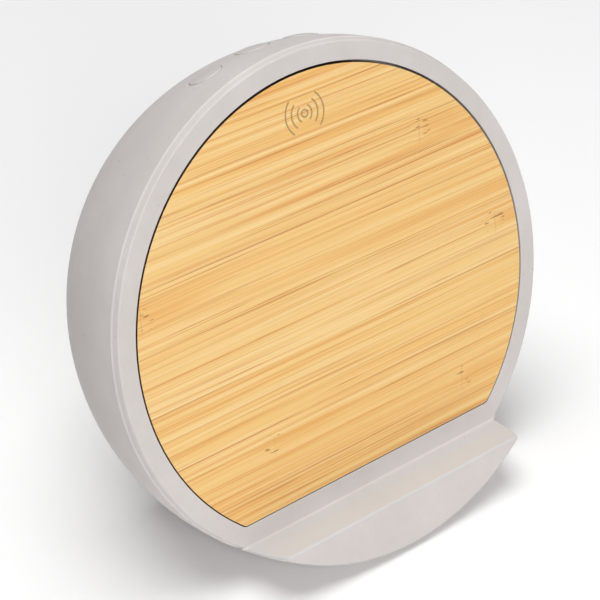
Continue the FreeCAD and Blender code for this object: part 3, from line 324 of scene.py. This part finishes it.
def bamboo():
    """Edge-laminated bamboo: level strips of differing tone, long straight fibres, a few culm nodes."""
    shader = Shader("laminated_bamboo", specular=0.3)
    across, upward, outward = shader.split(shader.face_place())

    # each strip has its own tone and its own stretch of the same fibres
    strip_place = shader.calc("DIVIDE", shader.calc("SUBTRACT", upward, STRIP_JOINT), STRIP)
    strip = shader.calc("FLOOR", strip_place)
    random = shader.add("ShaderNodeTexWhiteNoise", noise_dimensions="1D")
    shader.wire(shader.calc("MULTIPLY_ADD", strip, 1.37, 4.1), random.inputs["W"])
    strip_tone = random.outputs["Value"]

    # the fibres part a little round each culm node, and wander slightly everywhere
    wander = shader.noise((90 * MM, 16 * MM, 1.0), detail=1, vector=shader.join(across, upward))
    parted = shader.calc("MULTIPLY_ADD", wander, 1.1 * MM, upward)
    knots = 0.0
    ridges = 0.0
    glows = 0.0
    for x0, y0, strength in CULMS:
        dx = shader.calc("SUBTRACT", across, x0)
        dy = shader.calc("SUBTRACT", upward, y0)
        reach_x = shader.calc("DIVIDE", dx, CULM_REACH)
        reach_y = shader.calc("DIVIDE", dy, CULM_REACH)
        square = shader.calc("ADD", shader.calc("POWER", reach_x, 2), shader.calc("POWER", reach_y, 2))
        knot = shader.calc("MULTIPLY", shader.step(square, 1.3, 0.1), strength)
        knots = shader.calc("MAXIMUM", knots, knot)
        swell = shader.calc("MULTIPLY", knot, shader.calc("SINE", shader.calc("MULTIPLY", dy, CULM_WAVES)))
        parted = shader.calc("MULTIPLY_ADD", swell, -0.35 * MM, parted)
        off_ridge = shader.calc("ABSOLUTE", shader.calc("MULTIPLY_ADD", dy, -0.12, dx))
        ridge = shader.calc("MULTIPLY", shader.step(off_ridge, 0.3 * MM, 0.05 * MM), knot)
        ridges = shader.calc("MAXIMUM", ridges, ridge)
        beyond = shader.product(shader.step(dx, -1 * MM, 3 * MM), shader.step(dx, 24 * MM, 8 * MM))
        glow = shader.product(beyond, shader.step(shader.calc("ABSOLUTE", dy), 2.6 * MM, 0.6 * MM))
        glows = shader.calc("MAXIMUM", glows, shader.calc("MULTIPLY", glow, strength))
    along = shader.calc("MULTIPLY_ADD", strip_tone, 0.7, across)
    fibre_place = shader.join(along, parted, shader.calc("MULTIPLY", strip, 0.013))

    broad = shader.noise((170 * MM, 2.6 * MM, 5 * MM), detail=2, vector=fibre_place)
    streak = shader.noise((130 * MM, 0.8 * MM, 5 * MM), detail=3, rough=0.65, vector=fibre_place)
    line = shader.noise((90 * MM, 0.32 * MM, 5 * MM), detail=2, rough=0.6, vector=fibre_place)
    hair = shader.noise((18 * MM, 0.14 * MM, 5 * MM), detail=2, rough=0.6, vector=fibre_place)
    vein = shader.noise((120 * MM, 0.75 * MM, 5 * MM), detail=1, vector=shader.join(along, parted, 0.21))
    fleck = shader.noise((1.2 * MM, 0.35 * MM, 5 * MM), detail=2, vector=fibre_place)

    tone = shader.mix(strip_tone, linear(239, 191, 113), linear(240, 200, 131))
    for fibres, low, high, strength, colour in (
        (broad, 0.48, 0.3, 0.6, linear(244, 212, 152)),
        (broad, 0.52, 0.68, 0.6, linear(233, 173, 98)),
        (streak, 0.48, 0.34, 0.6, linear(246, 214, 158)),
        (streak, 0.54, 0.64, 0.6, linear(226, 158, 86)),
        (line, 0.57, 0.68, 0.45, linear(214, 142, 80)),
        (line, 0.4, 0.3, 0.5, linear(247, 220, 172)),
    ):
        tone = shader.layer(tone, fibres, low, high, strength, colour)
    thin = shader.calc("ABSOLUTE", shader.calc("SUBTRACT", vein, 0.5))
    drawn = shader.product(shader.step(thin, 0.028, 0.006), shader.step(streak, 0.5, 0.6))
    tone = shader.mix(shader.calc("MULTIPLY", drawn, 0.55), tone, linear(186, 112, 64))
    tone = shader.shade(tone, 0.05, hair)
    tone = shader.shade(tone, 0.02, fleck)

    # the joints between the strips, mostly closed, and darker where the glue shows
    joint_place = shader.calc("ABSOLUTE", shader.calc("SUBTRACT", shader.calc("FRACT", strip_place), 0.5))
    joint = shader.step(joint_place, 0.5 - 0.016, 0.5 - 0.003)
    glue = shader.step(shader.noise((40 * MM, 14 * MM, 1.0), detail=2, vector=fibre_place), 0.4, 0.56)
    tone = shader.mix(shader.product(joint, glue, 0.7), tone, linear(186, 112, 66))

    # a warm glow, faint ridges and a few brown dashes at the culm nodes
    dashes = shader.noise((3.4 * MM, 0.55 * MM, 5 * MM), detail=1, vector=fibre_place)
    dash = shader.product(shader.step(dashes, 0.62, 0.7), shader.step(knots, 0.1, 0.5))
    tone = shader.mix(shader.calc("MULTIPLY", glows, 0.45), tone, linear(232, 168, 92))
    tone = shader.mix(shader.calc("MULTIPLY", ridges, 0.3), tone, linear(205, 146, 84))
    tone = shader.mix(shader.calc("MULTIPLY", dash, 0.7), tone, linear(148, 88, 50))

    mark = charging_mark(shader, across, upward)
    broken = shader.step(line, 0.7, 0.45)
    burn = shader.calc("MULTIPLY", mark, shader.calc("MULTIPLY_ADD", broken, 0.2, 0.5))
    tone = shader.mix(burn, tone, linear(140, 110, 74))

    # the cut edge is burnt dark brown
    side = shader.step(outward, -0.02 * MM, -0.1 * MM)
    tone = shader.mix(side, tone, BURNT_EDGE)
    shader.colour(tone)
    shader.rough(streak, 0.5, 0.66)
    height = shader.calc("MULTIPLY_ADD", mark, -1.5, shader.calc("MULTIPLY_ADD", line, -0.6, hair))
    shader.bump(shader.calc("MULTIPLY_ADD", joint, -0.8, height), 0.03 * MM, 0.4)
    return shader.material


# ---------------------------------------------------------------------------------- plastics and rubber
def moulded(name, colour, roughness, grain=0.25 * MM, depth=0.02 * MM, specular=0.45):
    """Moulded plastic or rubber: a fine spark-eroded grain with slight drifts of tone."""
    shader = Shader(name, specular=specular)
    drift = shader.noise(14 * MM, detail=3)
    texture = shader.noise(grain, detail=2, rough=0.6)
    tone = shader.shade(colour, 0.05, drift)
    shader.colour(shader.shade(tone, 0.06, texture))
    shader.rough(texture, roughness - 0.07, roughness + 0.07)
    shader.bump(texture, depth, 0.5)
    return shader.material


def clear_plastic():
    """Clear plastic with a light frost."""
    shader = Shader("light_pipe_plastic")
    frost = shader.noise(0.3 * MM, detail=2)
    shader.colour(shader.shade(linear(236, 240, 242), 0.03, frost))
    shader.rough(frost, 0.15, 0.3)
    shader.surface.inputs["Transmission Weight"].default_value = 0.6
    return shader.material


def wrapped_cell():
    """Blue shrink wrap with the long creases that the shrinking leaves."""
    shader = Shader("cell_wrap", specular=0.5)
    crease = shader.noise((9 * MM, 0.9 * MM, 2 * MM), detail=2)
    drift = shader.noise(12 * MM, detail=2)
    shader.colour(shader.shade(linear(46, 92, 158), 0.1, drift))
    shader.rough(crease, 0.22, 0.38)
    shader.bump(crease, 0.06 * MM, 0.5)
    return shader.material


def foam():
    """Charcoal foam with small closed cells."""
    shader = Shader("closed_cell_foam", specular=0.2)
    distance, shade = shader.cells(0.4 * MM)
    shader.colour(shader.shade(linear(46, 45, 45), 0.35, shade))
    shader.rough(distance, 0.8, 0.95)
    shader.bump(distance, 0.08 * MM, 0.8)
    return shader.material


def paper_cone():
    """Pressed black paper pulp with short fibres."""
    shader = Shader("cone_paper", specular=0.25)
    fibre = shader.noise((1.6 * MM, 0.25 * MM, 0.25 * MM), detail=4, rough=0.7)
    felt = shader.noise(0.3 * MM, detail=3)
    shader.colour(shader.shade(linear(44, 43, 44), 0.3, fibre))
    shader.rough(felt, 0.72, 0.9)
    shader.bump(shader.calc("ADD", fibre, felt), 0.05 * MM, 0.6)
    return shader.material


THREAD_PITCH = 0.9 * MM


def adhesive():
    """White double-sided tape with the weave of its carrier showing faintly."""
    shader = Shader("carrier_tape", specular=0.3)
    axes = shader.split(shader.place)
    waves = 2 * math.pi / THREAD_PITCH
    threads = [shader.calc("SINE", shader.calc("MULTIPLY", axes[number], waves)) for number in (0, 2)]
    weave = shader.calc("MULTIPLY_ADD", shader.calc("MULTIPLY", *threads), 0.5, 0.5)
    shader.colour(shader.shade(linear(232, 230, 222), 0.05, weave))
    shader.rough(weave, 0.5, 0.65)
    shader.bump(weave, 0.02 * MM, 0.5)
    return shader.material


# ---------------------------------------------------------------------------------- metals and electronics
def metal(name, colour, roughness, depth=0.008 * MM):
    """Turned, drawn or plated metal: fine tool lines, faint stains and small changes of polish."""
    shader = Shader(name, metallic=1.0)
    lines = shader.noise((0.2 * MM, 0.2 * MM, 2.5 * MM), detail=3, rough=0.6)
    stain = shader.noise(3 * MM, detail=3)
    tone = shader.shade(colour, 0.06, stain)
    shader.colour(shader.shade(tone, 0.05, lines))
    shader.rough(lines, roughness - 0.06, roughness + 0.1)
    shader.bump(lines, depth, 0.5)
    return shader.material


def winding():
    """Enamelled litz copper: a speckle of fine strands, slightly stained."""
    shader = Shader("litz_copper", roughness=0.35, metallic=0.9)
    strands = shader.noise(0.35 * MM, detail=3, rough=0.6)
    stain = shader.noise(5 * MM, detail=2)
    shader.colour(shader.shade(shader.shade(linear(196, 112, 66), 0.12, stain), 0.2, strands))
    shader.rough(strands, 0.28, 0.5)
    shader.bump(strands, 0.1 * MM, 0.7)
    return shader.material


def circuit_board():
    """Green solder mask with raised tracks, and tinned dots where the vias are."""
    shader = Shader("solder_mask", specular=0.5)
    across, upward = shader.split(shader.face_place())[:2]
    flat = shader.join(across, upward)
    tracks = 0.0
    for size, offset in ((7.0 * MM, 0.0), (11.0 * MM, 3.7)):
        sweep = shader.noise((size, size, 1.0), detail=0, vector=shader.join(across, upward, offset))
        wave = shader.calc("FRACT", shader.calc("MULTIPLY", sweep, 9.0))
        tracks = shader.calc("MAXIMUM", tracks, shader.step(wave, 0.5, 0.56))
    patches = shader.noise((9 * MM, 9 * MM, 1.0), vector=flat)
    tracks = shader.product(tracks, shader.step(patches, 0.4, 0.5))
    distance, shade = shader.cells(2.4 * MM)
    via = shader.product(shader.step(distance, 0.17, 0.13), shader.step(shade, 0.6, 0.62))
    tone = shader.mix(tracks, linear(22, 88, 56), linear(38, 122, 78))
    shader.colour(shader.mix(via, tone, linear(206, 206, 198)))
    shader.rough(tracks, 0.32, 0.26)
    shader.bump(shader.calc("ADD", tracks, via), 0.05 * MM, 0.6)
    return shader.material


def ferrite():
    """Dark sintered ferrite under a thin film, scored so that it can flex."""
    shader = Shader("sintered_ferrite", specular=0.4)
    crumb = shader.noise(0.5 * MM, detail=4, rough=0.7)
    crack = shader.cells(6 * MM, feature="DISTANCE_TO_EDGE")[0]
    score = shader.step(crack, 0.035, 0.01)
    tone = shader.shade(linear(66, 66, 70), 0.2, crumb)
    shader.colour(shader.mix(shader.calc("MULTIPLY", score, 0.6), tone, linear(30, 30, 32)))
    shader.rough(crumb, 0.4, 0.6)
    shader.bump(shader.calc("MULTIPLY_ADD", score, -1.0, crumb), 0.04 * MM, 0.6)
    return shader.material


def flex_film():
    """Amber polyimide film with copper tracks running along it under the surface."""
    shader = Shader("polyimide_film", specular=0.5)
    outward = shader.split(shader.face_place())[2]
    lanes = shader.calc("FRACT", shader.calc("DIVIDE", outward, 1.1 * MM))
    track = shader.step(shader.calc("ABSOLUTE", shader.calc("SUBTRACT", lanes, 0.5)), 0.24, 0.2)
    haze = shader.noise(4 * MM, detail=2)
    tone = shader.mix(track, linear(196, 118, 38), linear(226, 152, 66))
    shader.colour(shader.shade(tone, 0.06, haze))
    shader.rough(haze, 0.25, 0.4)
    shader.bump(track, 0.02 * MM, 0.5)
    return shader.material


# ---------------------------------------------------------------------------------- finishes by slot
def make_finishes():
    """One material for each of the record's slots."""
    warm_grey = linear(196, 189, 185)
    button_grey = linear(208, 202, 199)
    enamel_black = linear(42, 42, 44)
    return {
        "cement": cement(),
        "bamboo": bamboo(),
        "adhesive": adhesive(),
        "black_plastic": moulded("black_abs", linear(52, 51, 53), 0.55),
        "grey_plastic": moulded("warm_grey_abs", warm_grey, 0.55, depth=0.03 * MM),
        "button_plastic": moulded("button_abs", button_grey, 0.46, grain=0.3 * MM, depth=0.01 * MM),
        "ferrite": ferrite(),
        "copper": winding(),
        "brass": metal("turned_brass", linear(214, 178, 104), 0.3),
        "steel": metal("drawn_steel", linear(176, 177, 180), 0.36),
        "plated_steel": metal("nickel_plate", linear(205, 205, 208), 0.2, depth=0.004 * MM),
        "black_metal": moulded("black_stove_enamel", enamel_black, 0.42, grain=0.6 * MM, specular=0.5),
        "circuit_board": circuit_board(),
        "chip": moulded("epoxy_package", linear(44, 44, 46), 0.6, grain=0.15 * MM),
        "clear_plastic": clear_plastic(),
        "battery_wrap": wrapped_cell(),
        "foam": foam(),
        "paper_cone": paper_cone(),
        "soft_rubber": moulded("soft_butyl", linear(38, 38, 39), 0.7, grain=0.5 * MM, specular=0.3),
        "amber_film": flex_film(),
        "foot_rubber": moulded("foot_silicone", linear(62, 61, 61), 0.75, grain=0.4 * MM, specular=0.3),
    }


def dress_nodes(finishes):
    """Each CAD node takes the finish of its slot in the record."""
    for subpart in frame["record"]["subparts"]:
        node = nodes[subpart["node"]]
        node.data.materials.clear()
        node.data.materials.append(finishes[subpart["material_slot"]])


# ---------------------------------------------------------------------------------- loudspeaker surround
SPEAKER = FACE + UP * (5.0 * MM)  # on the loudspeaker's axis, level with the face
SURROUND_FIXED = (-33.1 * MM, 18.1 * MM)  # where the roll starts on the basket: outward, radius
SURROUND_MOVING = (-31.5 * MM, 16.75 * MM)  # where it ends on the cone
SURROUND_OUTSIDE = 19.45 * MM
SURROUND_INSIDE = 15.65 * MM
SURROUND_HALF_THICK = 0.17 * MM
SURROUND_RIPPLE = 0.12 * MM
SURROUND_STEPS = 16
SURROUND_AROUND = 128


def make_surround(finish):
    """The soft ring between the basket and the cone."""
    low, low_radius = SURROUND_FIXED
    high, high_radius = SURROUND_MOVING
    spine = [(SURROUND_OUTSIDE, low)]
    for step in range(SURROUND_STEPS + 1):
        share = step / SURROUND_STEPS
        rise = share * share * (3 - 2 * share)
        ripple = SURROUND_RIPPLE * math.sin(4 * math.pi * share)
        radius = low_radius + (high_radius - low_radius) * share + ripple
        spine.append((radius, low + (high - low) * rise))
    spine.append((SURROUND_INSIDE, high))
    upper = [(radius, level + SURROUND_HALF_THICK) for radius, level in spine]
    lower = [(radius, level - SURROUND_HALF_THICK) for radius, level in reversed(spine)]
    profile = upper + lower
    count = len(profile)
    points = []
    for turn in range(SURROUND_AROUND):
        angle = 2 * math.pi * turn / SURROUND_AROUND
        radial = RIGHT * math.cos(angle) + UP * math.sin(angle)
        points.extend(SPEAKER + radial * radius + OUT * level for radius, level in profile)
    faces = []
    for turn in range(SURROUND_AROUND):
        here, after = turn * count, (turn + 1) % SURROUND_AROUND * count
        for corner in range(count):
            beside = (corner + 1) % count
            faces.append((here + corner, after + corner, after + beside, here + beside))
    mesh = bpy.data.meshes.new("surround_ring")
    mesh.from_pydata(points, [], faces)
    mesh.polygons.foreach_set("use_smooth", [True] * len(faces))
    mesh.materials.append(finish)
    ring = bpy.data.objects.new("surround_ring", mesh)
    bpy.context.scene.collection.objects.link(ring)
    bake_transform(ring)
    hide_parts("speaker_surround")


# ---------------------------------------------------------------------------------- build
make_camera()
make_stage()
finishes = make_finishes()
dress_nodes(finishes)
make_surround(finishes["soft_rubber"])
